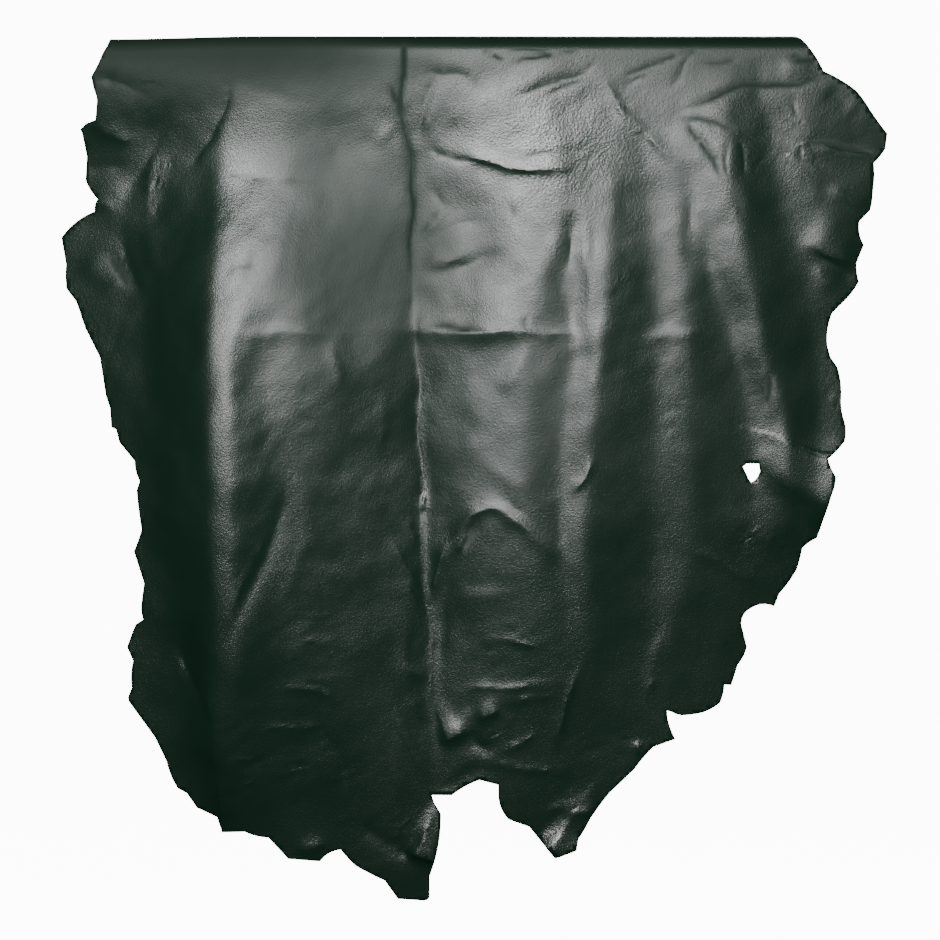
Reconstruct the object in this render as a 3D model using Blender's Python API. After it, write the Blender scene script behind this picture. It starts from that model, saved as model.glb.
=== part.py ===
"""A whole leather hide hung over a rail, made of one sheet.

The sheet falls long in front, bends over the rail and ends in a shorter flap
behind. The tables are in millimetres: x to the right of the rail's middle,
drop below the rail's top, and depth forward of the plain front face.
"""

import math

import bmesh
import bpy
import numpy as np

MM = 0.001

# driving sizes, in millimetres
THICKNESS = 1.6
RAIL_RADIUS = 38
QUARTER_TURN = math.pi / 2 * RAIL_RADIUS

# the sheet's lattice
CELL = 56  # side of a plain cell
HALVINGS = ((56, 1.1), (28, 1.3))  # cells this wide that miss the relief by more are halved
BEND_CELLS = 10  # rows of cells round the half turn over the rail
ARC_STEP = 30  # longest straight run on a scalloped edge
MERGE = 3  # corners closer than this become one
ERROR_READS = 5  # places across a cell where its miss is measured

# how the relief starts below the rail
RELIEF_START = 25
RELIEF_FULL = 75

# how a crease ends, how far out it is felt, and how round its crest is
CREASE_FADE = 0.35  # share of its length over which each end fades
CREASE_REACH = 5  # widths
CREASE_ROUND = 0.4  # widths
CREASE_TURN = 2  # half of the strip over which one flank's width becomes the other's

# the left end of the bend sags a little
SAG = 7
SAG_INNER_X = -420
SAG_OUTER_X = -780
SAG_FADE = 170

# the flap behind: low waves that grow downwards
BACK_WAVE = 6
BACK_WAVE_LENGTH = 460
BACK_LENGTH = 490

# The front's cut edge, clockwise from the rail's right end. Each row is a tip,
# and bow is how far the run to the next tip bulges outwards.
FRONT_EDGE = (  # x, drop, bow
    # right shoulder
    (782, 0, 0),
    (818, 29, 2),
    (851, 83, 3),
    (927, 128, 1),
    (957, 169, 0),
    (998, 225, 0),
    (994, 259, 2),
    (967, 293, 0),
    (963, 385, 2),
    # right flank, scalloped
    (934, 427, -5),
    (945, 480, 0),
    (928, 521, -2),
    (934, 564, 2),
    (904, 605, 0),
    (873, 636, -8),
    (869, 737, 0),
    (887, 762, 3),
    (894, 828, -3),
    (901, 884, 4),
    (902, 930, 2),
    (862, 971, -2),
    (880, 1012, 2),
    (846, 1132, 0),
    (838, 1153, -3),
    (792, 1225, 2),
    (740, 1310, -9),
    (664, 1350, -2),
    (677, 1402, 4),
    (641, 1490, 0),
    (625, 1489, 2),
    (615, 1530, 4),
    (526, 1559, 0),
    (493, 1548, -2),
    # right leg
    (512, 1613, -2),
    (419, 1681, 0),
    (317, 1795, 3),
    (285, 1868, 2),
    (236, 1886, 0),
    (177, 1814, 0),
    (129, 1797, 6),
    (106, 1718, 0),
    # notch between the legs
    (63, 1707, -4),
    (0, 1742, 0),
    (-46, 1742, 0),
    # left leg
    (-25, 1784, 9),
    (-51, 1927, 0),
    (-54, 1978, 2),
    (-124, 1979, 0),
    (-154, 1937, 3),
    (-255, 1866, -7),
    (-302, 1893, 0),
    (-375, 1887, 0),
    (-420, 1838, 4),
    (-527, 1826, 0),
    (-537, 1791, 2),
    (-607, 1737, 5),
    (-654, 1664, 0),
    (-741, 1524, 2),
    # left flank, scalloped
    (-734, 1495, 4),
    (-745, 1403, 1),
    (-708, 1339, 4),
    (-706, 1256, 0),
    (-730, 1183, -2),
    (-712, 1133, 2),
    (-717, 1022, 3),
    (-729, 976, 0),
    (-767, 930, 2),
    (-787, 854, 2),
    (-811, 737, 0),
    (-846, 669, 0),
    (-890, 578, 2),
    # left shoulder
    (-902, 459, 6),
    (-824, 400, 5),
    (-817, 372, 3),
    (-845, 328, 0),
    (-841, 274, 0),
    (-855, 213, 0),
    (-819, 192, 0),
    (-814, 142, 2),
    (-826, 91, 0),
    (-808, 56, 0),
    (-782, 0, 0),
)

# The flap's cut edge, from the rail's left end round to its right end.
BACK_EDGE = (  # x, drop, bow
    (-748, 95, -7),
    (-676, 232, -9),
    (-560, 372, 8),
    (-355, 452, 6),
    (-60, 490, 5),
    (270, 462, 7),
    (520, 385, -8),
    (668, 240, -7),
    (742, 100, 2),
)

# One torn hole near the right flank.
HOLE = (  # x, drop, bow
    (668, 989, 0),
    (676, 982, 0),
    (704, 982, 0),
    (707, 999, 0),
    (702, 1011, 2),
    (687, 1025, 1),
    (677, 1007, 0),
)

# The hanging folds, left to right. Each row is one crest or hollow line, and how
# softly the leather turns over it. It crosses nine level sections, the first
# just below the rail.
FIRST_SECTION = 50
SECTION_SPACING = 230
FOLDS = (  # name, softness, x at each section, depth at each section
    (
        "left edge",
        30,
        (-820, -855, -910, -820, -735, -745, -755, -695, -580),
        (4, -58, -80, -56, -34, -22, -16, -10, -4),
    ),
    (
        "left lobe",
        30,
        (-750, -750, -770, -760, -710, -710, -705, -635, -540),
        (5, -46, -60, -44, -28, -18, -12, -6, -2),
    ),
    (
        "left hollow",
        22,
        (-670, -660, -690, -700, -675, -660, -605, -600, -505),
        (6, -41, -40, -30, -14, -6, 2, -2, 0),
    ),
    (
        "big fold",
        18,
        (-530, -530, -550, -560, -560, -555, -550, -540, -475),
        (4, -18, 15, 37, 45, 45, 44, 29, 4),
    ),
    (
        "big fold's foot",
        16,
        (-465, -465, -480, -505, -500, -500, -495, -495, -450),
        (4, -18, 15, 38, 46, 46, 45, 30, 4),
    ),
    (
        "step foot",
        24,
        (-435, -435, -415, -435, -420, -415, -400, -425, -415),
        (3, -18, 13.5, 21, 22, 22, 22, 16, 2),
    ),
    (
        "step crest",
        26,
        (-390, -400, -375, -350, -335, -325, -325, -365, -375),
        (2, -16, 8, 16, 12, 10, 12, 9, 0),
    ),
    (
        "panel hollow",
        26,
        (-260, -270, -245, -255, -250, -240, -245, -260, -270),
        (-3, -27, -19, -1, -5, -3, 2, 0, -4),
    ),
    (
        "spine slope",
        10,
        (-130, -120, -115, -105, -90, -85, -75, -70, -55),
        (-3, -29, -38, -35, -35, -27, -22, -13, -5),
    ),
    (
        "spine",
        5,
        (-110, -100, -95, -80, -70, -60, -50, -50, -35),
        (-3, -31, -40, -41, -41, -32, -26, -16, -6),
    ),
    (
        "right panel",
        34,
        (40, 40, 40, 45, 40, 55, 85, 110, 110),
        (0, -17, -26, -18, -15, -10, -8, -5, -4),
    ),
    (
        "panel shoulder",
        34,
        (200, 240, 205, 170, 155, 200, 235, 250, 250),
        (0, -1, -3, -3, -1, 3, 2, -2, -3),
    ),
    (
        "streak hollow",
        18,
        (255, 285, 280, 280, 250, 250, 270, 275, 275),
        (0, -3, -6, -8, -9, -5, 0, -3, -3),
    ),
    (
        "streak",
        15,
        (335, 360, 350, 340, 315, 305, 315, 315, 315),
        (0, -6, 3, 4, 0, 2, 0, -3, -3),
    ),
    (
        "deep hollow",
        24,
        (445, 445, 465, 470, 460, 455, 455, 455, 455),
        (0, -9, -14, -16, -18, -18, -12, -5, -3),
    ),
    (
        "first right crest",
        18,
        (490, 495, 535, 545, 545, 545, 495, 500, 500),
        (0, -5, -7, -10, -13, -16, -10, -5, -3),
    ),
    (
        "second hollow",
        16,
        (545, 545, 585, 655, 690, 660, 570, 560, 560),
        (0, -2, -12, -22, -28, -24, -16, -6, -3),
    ),
    (
        "second right crest",
        16,
        (630, 635, 670, 720, 775, 745, 650, 630, 630),
        (0, 8, 4, -7, -13, -27, -20, -7, -3),
    ),
    (
        "right hollow",
        20,
        (725, 735, 795, 835, 840, 800, 745, 720, 720),
        (0, -9, -15, -27, -26, -31, -24, -8, -3),
    ),
    (
        "right lobe",
        16,
        (810, 810, 870, 890, 890, 860, 800, 800, 800),
        (0, -3, -12, -25, -24, -33, -27, -9, -3),
    ),
    (
        "right edge",
        20,
        (915, 975, 965, 945, 945, 915, 890, 890, 890),
        (0, -12, -22, -31, -27, -36, -31, -10, -3),
    ),
)

# The main creases. A path runs down or to the right. Its first width is on its left
# or below it, its second on its right or above it, and a height above 0 is a ridge.
CREASES = (  # name, path of (x, drop), left or lower width, right or upper width, height
    (
        "left armpit",
        (
            (-635, 125), (-670, 215), (-715, 290), (-745, 350), (-755, 410),
        ),
        30,
        20,
        -5,
    ),
    (
        "armpit edge",
        (
            (-520, 55), (-515, 105), (-520, 155), (-540, 205), (-575, 265), (-625, 340),
        ),
        90,
        12,
        -3.6,
    ),
    (
        "left lobe patch",
        (
            (-870, 515), (-830, 540), (-780, 560), (-740, 595),
        ),
        26,
        26,
        3,
    ),
    (
        "slanting hollow",
        (
            (-375, 940), (-385, 1020), (-390, 1085), (-415, 1165), (-450, 1250), (-490, 1320),
            (-520, 1410), (-545, 1460),
        ),
        14,
        18,
        -2.6,
    ),
    (
        "second crest",
        (
            (-335, 955), (-350, 1005), (-345, 1065), (-325, 1135), (-340, 1195), (-375, 1270),
            (-425, 1355),
        ),
        12,
        20,
        1.4,
    ),
    (
        "spine groove",
        (
            (-100, -225), (-105, 10), (-110, 100), (-120, 155), (-115, 210), (-100, 245),
            (-95, 325), (-95, 400), (-95, 475), (-100, 545), (-95, 615), (-90, 720),
        ),
        12,
        12,
        -1.9,
    ),
    (
        "spine trough",
        (
            (-100, 435), (-90, 540), (-85, 680), (-70, 795), (-65, 910), (-65, 1020),
            (-65, 1110), (-60, 1200), (-50, 1295), (-50, 1375), (-50, 1470), (-55, 1565),
            (-55, 1645),
        ),
        34,
        17,
        -1.2,
    ),
    (
        "fan hollow",
        (
            (0, 1185), (-15, 1265), (-25, 1345), (-25, 1430), (-20, 1505),
        ),
        15,
        12,
        -2,
    ),
    (
        "neck smile",
        (
            (-30, 255), (25, 275), (65, 290), (105, 300), (160, 305), (220, 310), (275, 300),
            (330, 290),
        ),
        12,
        16,
        2.8,
    ),
    (
        "neck slant, wide",
        (
            (-75, 465), (-35, 425), (5, 390),
        ),
        12,
        12,
        1.6,
    ),
    (
        "neck dark fold",
        (
            (-85, 545), (-30, 545), (10, 530), (60, 515), (130, 505),
        ),
        12,
        12,
        -2,
    ),
    (
        "cross lip wedge",
        (
            (-220, 670), (-65, 675), (65, 675), (250, 680),
        ),
        22,
        60,
        6,
    ),
    (
        "shoulder ridge",
        (
            (325, 50), (340, 90), (360, 120), (375, 160), (400, 195), (440, 230), (485, 265),
            (525, 295), (555, 325),
        ),
        12,
        12,
        2.6,
    ),
    (
        "long crease",
        (
            (480, 185), (520, 170), (570, 155), (625, 135), (670, 115), (725, 115), (775, 115),
            (825, 105), (915, 80),
        ),
        12,
        12,
        -2,
    ),
    (
        "pocket edge",
        (
            (505, 160), (525, 185), (555, 230), (585, 275), (610, 310), (635, 360),
        ),
        12,
        12,
        -1.9,
    ),
    (
        "pocket lens",
        (
            (635, 220), (625, 260), (625, 300), (640, 345),
        ),
        12,
        12,
        -1.3,
    ),
    (
        "right cross crease",
        (
            (790, 230), (830, 245), (875, 255), (920, 265), (995, 275),
        ),
        12,
        12,
        -1.9,
    ),
    (
        "right patch",
        (
            (780, 415), (855, 460), (935, 495),
        ),
        12,
        40,
        4.5,
    ),
    (
        "flank shelf",
        (
            (930, 935), (905, 1005), (860, 1075), (815, 1130),
        ),
        80,
        20,
        25,
    ),
    (
        "belly arch",
        (
            (-35, 1300), (-15, 1225), (0, 1165), (25, 1125), (55, 1095), (95, 1080),
            (130, 1095), (170, 1130), (215, 1170), (260, 1210), (300, 1245),
        ),
        12,
        14,
        3,
    ),
    (
        "left leg crease",
        (
            (-640, 1375), (-615, 1430), (-590, 1485), (-565, 1535), (-545, 1585),
        ),
        12,
        12,
        -3.6,
    ),
    (
        "left leg ridge",
        (
            (-145, 1500), (-130, 1550), (-110, 1605), (-85, 1655), (-50, 1725),
        ),
        12,
        14,
        2.4,
    ),
    (
        "lower pucker",
        (
            (-35, 1620), (-5, 1615), (35, 1590),
        ),
        12,
        34,
        6,
    ),
    (
        "right foot",
        (
            (195, 1805), (230, 1830), (260, 1860), (305, 1875),
        ),
        12,
        42,
        15,
    ),
    (
        "flap ridge",
        (
            (495, 1330), (470, 1385), (460, 1450), (445, 1515), (435, 1575),
        ),
        12,
        16,
        1.6,
    ),
    (
        "left leg fold",
        (
            (-230, 1780), (-185, 1825), (-125, 1860), (-65, 1910),
        ),
        16,
        16,
        -3.5,
    ),
    (
        "notch curl",
        (
            (-50, 1730), (-5, 1720), (40, 1690), (80, 1685), (115, 1700),
        ),
        20,
        13,
        -2,
    ),
)


def clear_scene():
    """Empties the scene of its objects."""
    for thing in list(bpy.data.objects):
        bpy.data.objects.remove(thing, do_unlink=True)


def leather():
    """Dark green finished leather."""
    material = bpy.data.materials.new("green leather")
    material.use_nodes = True
    shader = material.node_tree.nodes["Principled BSDF"]
    shader.inputs["Base Color"].default_value = (0.012, 0.030, 0.019, 1)
    shader.inputs["Roughness"].default_value = 0.45
    shader.inputs["Metallic"].default_value = 0
    return material


def bend_run(drop):
    """How far down the sheet from the bend's crown a point at this drop lies."""
    if drop >= RAIL_RADIUS:
        return QUARTER_TURN + drop - RAIL_RADIUS
    return RAIL_RADIUS * math.acos(1 - drop / RAIL_RADIUS)


def edge_run(rows):
    """Points round a closed table of tips, each run bowed to the left of its way."""
    points = []
    for (x, y, bow), (end_x, end_y, _) in zip(rows, rows[1:] + rows[:1]):
        length = math.hypot(end_x - x, end_y - y)
        steps = max(1, round(length / ARC_STEP)) if bow else 1
        for step in range(steps):
            part = step / steps
            swell = 4 * bow * part * (1 - part) / length
            points.append(
                (
                    x + (end_x - x) * part - (end_y - y) * swell,
                    y + (end_y - y) * part + (end_x - x) * swell,
                )
            )
    return points


def read_sections(drop, values):
    """Reads the smooth curve through a line's values at the even sections, at any drops."""
    places = np.clip((drop - FIRST_SECTION) / SECTION_SPACING, 0, len(values) - 1)
    index = np.minimum(places.astype(int), len(values) - 2)
    part = places - index
    padded = np.concatenate([values[:1], values, values[-1:]])
    before, start, end, after = (padded[index + step] for step in range(4))
    bend = 2 * before - 5 * start + 4 * end - after
    twist = 3 * (start - end) + after - before
    return start + part * (end - before + part * (bend + part * twist)) / 2


def rounded(path):
    """A path with its corners cut twice, so that it bends softly."""
    points = np.array(path, float)
    for _ in range(2):
        near = 0.75 * points[:-1] + 0.25 * points[1:]
        far = 0.25 * points[:-1] + 0.75 * points[1:]
        inner = np.stack([near, far], axis=1).reshape(-1, 2)
        points = np.concatenate([points[:1], inner, points[-1:]])
    return points


def along_and_across(x, drop, points):
    """How far along the path the nearest point lies, from 0 to 1, and how far to its right."""
    lengths = np.hypot(*np.diff(points, axis=0).T)
    starts = np.concatenate([[0], np.cumsum(lengths)])
    along, across = np.zeros(len(x)), np.full(len(x), np.inf)
    for (start_x, start_y), (end_x, end_y), length, start in zip(points, points[1:], lengths, starts):
        run_x, run_y = (end_x - start_x) / length, (end_y - start_y) / length
        off_x, off_y = x - start_x, drop - start_y
        reach = np.clip(off_x * run_x + off_y * run_y, 0, length)
        gap = np.hypot(off_x - reach * run_x, off_y - reach * run_y)
        side = np.where(run_x * off_y - run_y * off_x < 0, 1, -1)
        nearer = gap < np.abs(across)
        along = np.where(nearer, (start + reach) / starts[-1], along)
        across = np.where(nearer, gap * side, across)
    return along, across


def add_crease(relief, x, drop, path, left_width, right_width, height):
    """Adds one crease: a narrow crest or groove with hollow flanks, which dies away at both ends."""
    points = rounded(path)
    reach = CREASE_REACH * max(left_width, right_width)
    low, high = points.min(axis=0) - reach, points.max(axis=0) + reach
    near = (x > low[0]) & (x < high[0]) & (drop > low[1]) & (drop < high[1])
    along, across = along_and_across(x[near], drop[near], points)
    widths = (left_width + right_width) / 2 + (right_width - left_width) / 2 * np.tanh(across / CREASE_TURN)
    flank = np.sqrt((across / widths) ** 2 + CREASE_ROUND**2) - CREASE_ROUND
    fade = soft_step(np.minimum(along, 1 - along), 0, CREASE_FADE)
    relief[near] += height * fade * np.exp(-flank)


def soft_step(value, start, full):
    """Rises softly from 0 at the start to 1 where it is full."""
    part = np.clip((value - start) / (full - start), 0, 1)
    return part**2 * (3 - 2 * part)


def fold_relief(x, drop):
    """The hanging folds: straight flanks that turn softly over each crest and hollow line."""
    xs = np.stack([read_sections(drop, line_xs) for _, _, line_xs, _ in FOLDS], axis=1)
    depths = np.stack([read_sections(drop, line_depths) for _, _, _, line_depths in FOLDS], axis=1)
    softness = np.array([soft for _, soft, _, _ in FOLDS[1:-1]])
    slopes = np.diff(depths, axis=1) / np.diff(xs, axis=1)
    past = x[:, None] - xs[:, 1:-1]
    turned = (past + np.sqrt(past**2 + softness**2)) / 2
    return depths[:, 0] + slopes[:, 0] * (x - xs[:, 0]) + (np.diff(slopes, axis=1) * turned).sum(axis=1)


def front_relief(x, drop):
    """How far the front stands forward of its plain face."""
    relief = fold_relief(x, drop)
    for _, path, left_width, right_width, height in CREASES:
        add_crease(relief, x, drop, path, left_width, right_width, height)
    return relief * soft_step(drop, RELIEF_START, RELIEF_FULL)


def back_relief(x, drop):
    """Low even waves, which grow down the flap."""
    return BACK_WAVE * np.sin(x * math.tau / BACK_WAVE_LENGTH) * soft_step(drop, RAIL_RADIUS, BACK_LENGTH)


def hung(x, y):
    """Carries points of the flat sheet to where they hang."""
    turn = np.clip(-y / RAIL_RADIUS, -math.pi / 2, math.pi / 2)
    past = np.abs(y) - QUARTER_TURN
    drop = RAIL_RADIUS + np.maximum(past, 0)
    forward = np.where(y < 0, front_relief(x, drop), -back_relief(x, drop))
    depth = RAIL_RADIUS * np.sin(turn) + forward
    height = RAIL_RADIUS * (np.cos(turn) - 1) - np.maximum(past, 0)
    sag = SAG * soft_step(-x, -SAG_INNER_X, -SAG_OUTER_X) * (1 - soft_step(drop, RAIL_RADIUS, SAG_FADE))
    return np.stack([x, -depth, height - sag], axis=1) * MM


def add_rim(mesh, rows):
    """Adds one closed loop of edges to the flat sheet."""
    rim = [mesh.verts.new((x, y, 0)) for x, y in edge_run(rows)]
    for start, end in zip(rim, rim[1:] + rim[:1]):
        mesh.edges.new((start, end))


def flat_sheet():
    """The hide laid flat: the front below the rail's line, the flap above it."""
    mesh = bmesh.new()
    front = [(x, -bend_run(drop), bow) for x, drop, bow in FRONT_EDGE]
    back = [(x, bend_run(drop), bow) for x, drop, bow in BACK_EDGE]
    add_rim(mesh, front + back)
    add_rim(mesh, [(x, -bend_run(drop), bow) for x, drop, bow in HOLE])
    bmesh.ops.triangle_fill(mesh, use_beauty=True, use_dissolve=True, edges=mesh.edges[:])
    return mesh


def cut_across(mesh, place, direction):
    """Cuts every face of the flat sheet along one straight line."""
    everything = mesh.verts[:] + mesh.edges[:] + mesh.faces[:]
    bmesh.ops.bisect_plane(mesh, geom=everything, plane_co=place, plane_no=direction)


def cut_lattice(mesh):
    """Cuts the flat sheet into cells, whose rows are closer together round the bend."""
    xs = [corner.co.x for corner in mesh.verts]
    ys = [corner.co.y for corner in mesh.verts]
    bend_rows = np.linspace(-QUARTER_TURN, QUARTER_TURN, BEND_CELLS + 1)
    front_rows = np.arange(-QUARTER_TURN - CELL, min(ys), -CELL)
    back_rows = np.arange(QUARTER_TURN + CELL, max(ys), CELL)
    for x in np.arange(min(xs) + CELL, max(xs), CELL):
        cut_across(mesh, (x, 0, 0), (1, 0, 0))
    for y in (*bend_rows, *front_rows, *back_rows):
        cut_across(mesh, (0, y, 0), (0, 1, 0))
    bmesh.ops.remove_doubles(mesh, verts=mesh.verts[:], dist=MERGE)


def chord_error(x, drop, step_x, step_drop):
    """How far the relief strays from a straight line across the cells round these places."""
    parts = np.linspace(-0.5, 0.5, ERROR_READS)
    reads = [front_relief(x + part * step_x, drop + part * step_drop) for part in parts]
    lines = [reads[0] * (0.5 - part) + reads[-1] * (0.5 + part) for part in parts]
    return np.max(np.abs(np.array(reads) - np.array(lines)), axis=0)


def halve_rough_cells(mesh, size, allowed):
    """Halves the front's cells that are too coarse for the relief in them."""
    faces = [face for face in mesh.faces if face.calc_center_median().y < -QUARTER_TURN]
    faces = [face for face in faces if face.calc_area() > size * size / 2]
    centres = np.array([face.calc_center_median()[:2] for face in faces])
    x, drop = centres[:, 0], RAIL_RADIUS - QUARTER_TURN - centres[:, 1]
    error = np.maximum(chord_error(x, drop, size, 0), chord_error(x, drop, 0, size))
    rough = {edge for face, miss in zip(faces, error) if miss > allowed for edge in face.edges}
    mesh.edges.index_update()
    ordered = sorted(rough, key=lambda edge: edge.index)
    bmesh.ops.subdivide_edges(mesh, edges=ordered, cuts=1, use_grid_fill=True)


def make_hide():
    """Lays out the sheet, hangs it over the rail and gives it its thickness."""
    mesh = flat_sheet()
    cut_lattice(mesh)
    for size, allowed in HALVINGS:
        halve_rough_cells(mesh, size, allowed)
    bmesh.ops.triangulate(mesh, faces=mesh.faces[:], quad_method="BEAUTY", ngon_method="BEAUTY")
    bmesh.ops.reverse_faces(mesh, faces=[face for face in mesh.faces if face.normal.z < 0])
    flat = np.array([corner.co[:2] for corner in mesh.verts])
    for corner, place in zip(mesh.verts, hung(flat[:, 0], flat[:, 1])):
        corner.co = place
    data = bpy.data.meshes.new("hide")
    mesh.to_mesh(data)
    mesh.free()
    data.materials.append(leather())
    data.shade_smooth()
    hide = bpy.data.objects.new("hide", data)
    bpy.context.scene.collection.objects.link(hide)
    skin = hide.modifiers.new("thickness", "SOLIDIFY")
    skin.thickness = THICKNESS * MM
    skin.offset = 0
    return hide


clear_scene()
make_hide()
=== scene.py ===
import math

import bmesh
import bpy
import numpy as np
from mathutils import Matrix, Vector


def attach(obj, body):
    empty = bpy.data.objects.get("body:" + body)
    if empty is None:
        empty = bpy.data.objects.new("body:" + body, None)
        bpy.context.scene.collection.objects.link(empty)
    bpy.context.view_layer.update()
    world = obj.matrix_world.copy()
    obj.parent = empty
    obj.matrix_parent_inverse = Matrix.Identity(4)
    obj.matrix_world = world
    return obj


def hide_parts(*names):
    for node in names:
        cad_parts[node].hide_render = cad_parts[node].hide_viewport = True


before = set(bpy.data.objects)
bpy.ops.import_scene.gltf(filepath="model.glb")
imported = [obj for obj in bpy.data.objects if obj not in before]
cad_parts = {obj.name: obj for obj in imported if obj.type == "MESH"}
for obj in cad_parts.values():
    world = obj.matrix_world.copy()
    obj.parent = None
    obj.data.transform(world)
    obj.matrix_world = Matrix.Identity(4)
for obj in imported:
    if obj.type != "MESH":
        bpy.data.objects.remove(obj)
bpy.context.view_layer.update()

# A whole leather hide hung over a rail. The tables are in millimetres: x to the
# right of the rail's middle, drop below the rail's top, depth forward of the
# plain front face.
MM = 0.001

# the leather and its bend
THICKNESS = 1.4
RAIL_RADIUS = 38
QUARTER_TURN = math.pi / 2 * RAIL_RADIUS

# the sheet's lattice
CELL = 11  # side of a plain cell
HALVINGS = ((11, 0.35), (5.5, 0.2))  # cells this wide that miss the relief by more are halved
BEND_CELLS = 36  # rows of cells round the half turn over the rail
ARC_STEP = 10  # longest straight run on a scalloped edge
MERGE = 0.8  # corners closer than this become one
ERROR_READS = 5  # places across a cell where its miss is measured

# how the folds and the creases start below the rail
RELIEF_START = 25
RELIEF_FULL = 75

# how a crease ends, how far out it is felt, and how round its crest is
CREASE_FADE = 0.35  # share of its length over which each end fades
CREASE_REACH = 5  # widths
CREASE_ROUND = 0.4  # widths
CREASE_TURN = 2  # half of the strip over which one flank's width becomes the other's
CORNER_CUT = 0.25  # how far along each run its corner is cut

# the leather's own unevenness
GRID = 64  # random directions each way, before they repeat
FIELD_GAIN = 1.6  # brings the random field to about -1 to 1
STRAY_X_SEED = 1
STRAY_DROP_SEED = 2
LUMP_SEED = 3
WRINKLE_SEED = 10
STRAYS = ((95, 7), (34, 2))  # length and shift of the strays in every line
LUMPS = ((240, 2), (105, 1.1), (46, 0.5))  # length and height of the lumps
SLACK_X = 230  # the loose neck, where the lumps are full
SLACK_DROP = 380
SLACK_INNER = 250
SLACK_OUTER = 650
TAUT_SHARE = 0.6  # share of the lumps that the taut leather lacks
GROOVE_WIDTH = 9  # grooves narrower than this stay dull
GROOVE_DEPTH = 1.6  # depth at which a groove is fully dull
WRINKLE_STRETCH = 4  # how much longer than wide a wrinkle is
WRINKLE_REACH = 2  # half lengths

# the left end of the bend sags a little
SAG = 7
SAG_INNER_X = -420
SAG_OUTER_X = -780
SAG_FADE = 170

# the flap behind: low waves that grow downwards
BACK_WAVE = 6
BACK_WAVE_LENGTH = 460
BACK_LENGTH = 490

# The cut edge of the front, clockwise from the rail's right end, then of the
# flap behind. Each row is a tip, and bow is how far the run to the next tip
# bulges outwards.
FRONT_EDGE = (  # x, drop, bow
    (782, 0, 0),
    (818, 29, 2),
    (851, 83, 3),
    (927, 128, 1),
    (957, 169, -1),
    (998, 225, 0),
    (994, 259, 2),
    (967, 293, 0),
    (969, 319, 0),
    (963, 385, 0),
    (959, 401, 0),
    (934, 427, -5),
    (945, 480, 0),
    (928, 521, -2),
    (934, 564, 2),
    (904, 605, 0),
    (873, 636, -5),
    (862, 712, 0),
    (869, 737, 0),
    (885, 760, 3),
    (894, 828, -3),
    (901, 884, 3),
    (902, 930, 2),
    (862, 971, -2),
    (880, 1012, 2),
    (871, 1052, 0),
    (846, 1132, 0),
    (838, 1153, -2),
    (805, 1176, 1),
    (792, 1225, 2),
    (752, 1280, 0),
    (740, 1310, -7),
    (688, 1313, -7),
    (664, 1350, 0),
    (677, 1402, 3),
    (656, 1443, 0),
    (641, 1490, 0),
    (625, 1489, 2),
    (615, 1530, 3),
    (569, 1554, 1),
    (526, 1559, 0),
    (513, 1556, -1),
    (493, 1548, 0),
    (494, 1564, -2),
    (512, 1613, 0),
    (462, 1631, -2),
    (419, 1681, 0),
    (362, 1735, -1),
    (317, 1795, 1),
    (290, 1841, 0),
    (285, 1868, 0),
    (236, 1886, 0),
    (177, 1814, 0),
    (129, 1797, 5),
    (106, 1744, 0),
    (106, 1718, 0),
    (63, 1707, -3),
    (0, 1742, 0),
    (-46, 1742, 0),
    (-41, 1758, 0),
    (-25, 1784, 7),
    (-51, 1927, 0),
    (-51, 1975, 3),
    (-65, 1983, 0),
    (-124, 1979, 0),
    (-154, 1937, 1),
    (-221, 1903, 1),
    (-255, 1866, -6),
    (-302, 1893, 0),
    (-375, 1887, 0),
    (-420, 1838, 3),
    (-474, 1824, 0),
    (-527, 1826, 0),
    (-537, 1791, 0),
    (-584, 1770, 0),
    (-607, 1737, 0),
    (-628, 1726, 3),
    (-654, 1664, 0),
    (-680, 1610, 0),
    (-741, 1527, 0),
    (-743, 1518, 0),
    (-734, 1495, 3),
    (-731, 1434, 0),
    (-745, 1403, 1),
    (-725, 1350, 0),
    (-708, 1339, 3),
    (-711, 1295, 0),
    (-706, 1256, 0),
    (-730, 1183, -1),
    (-712, 1133, 1),
    (-724, 1043, 0),
    (-717, 1022, 3),
    (-729, 976, 0),
    (-765, 933, 0),
    (-773, 903, 0),
    (-784, 898, 0),
    (-787, 854, 0),
    (-797, 825, 0),
    (-811, 737, 0),
    (-846, 669, 0),
    (-867, 608, 0),
    (-890, 578, 2),
    (-891, 523, 0),
    (-902, 459, 0),
    (-890, 445, 5),
    (-824, 400, 3),
    (-817, 372, 3),
    (-845, 328, 0),
    (-841, 274, 0),
    (-851, 222, 0),
    (-855, 213, 0),
    (-841, 200, 0),
    (-819, 192, 0),
    (-814, 142, 2),
    (-826, 91, 0),
    (-808, 56, 0),
    (-800, 36, 0),
    (-789, 17, 0),
    (-782, 0, 0),
)

BACK_EDGE = (  # x, drop, bow
    (-748, 95, -7),
    (-676, 232, -9),
    (-560, 372, 8),
    (-355, 452, 6),
    (-60, 490, 5),
    (270, 462, 7),
    (520, 385, -8),
    (668, 240, -7),
    (742, 100, 2),
)

# One torn hole near the right flank.
HOLE = (  # x, drop, bow
    (668, 989, 0),
    (676, 982, 0),
    (704, 982, 0),
    (707, 999, 0),
    (702, 1011, 2),
    (687, 1025, 1),
    (677, 1007, 0),
)

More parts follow.
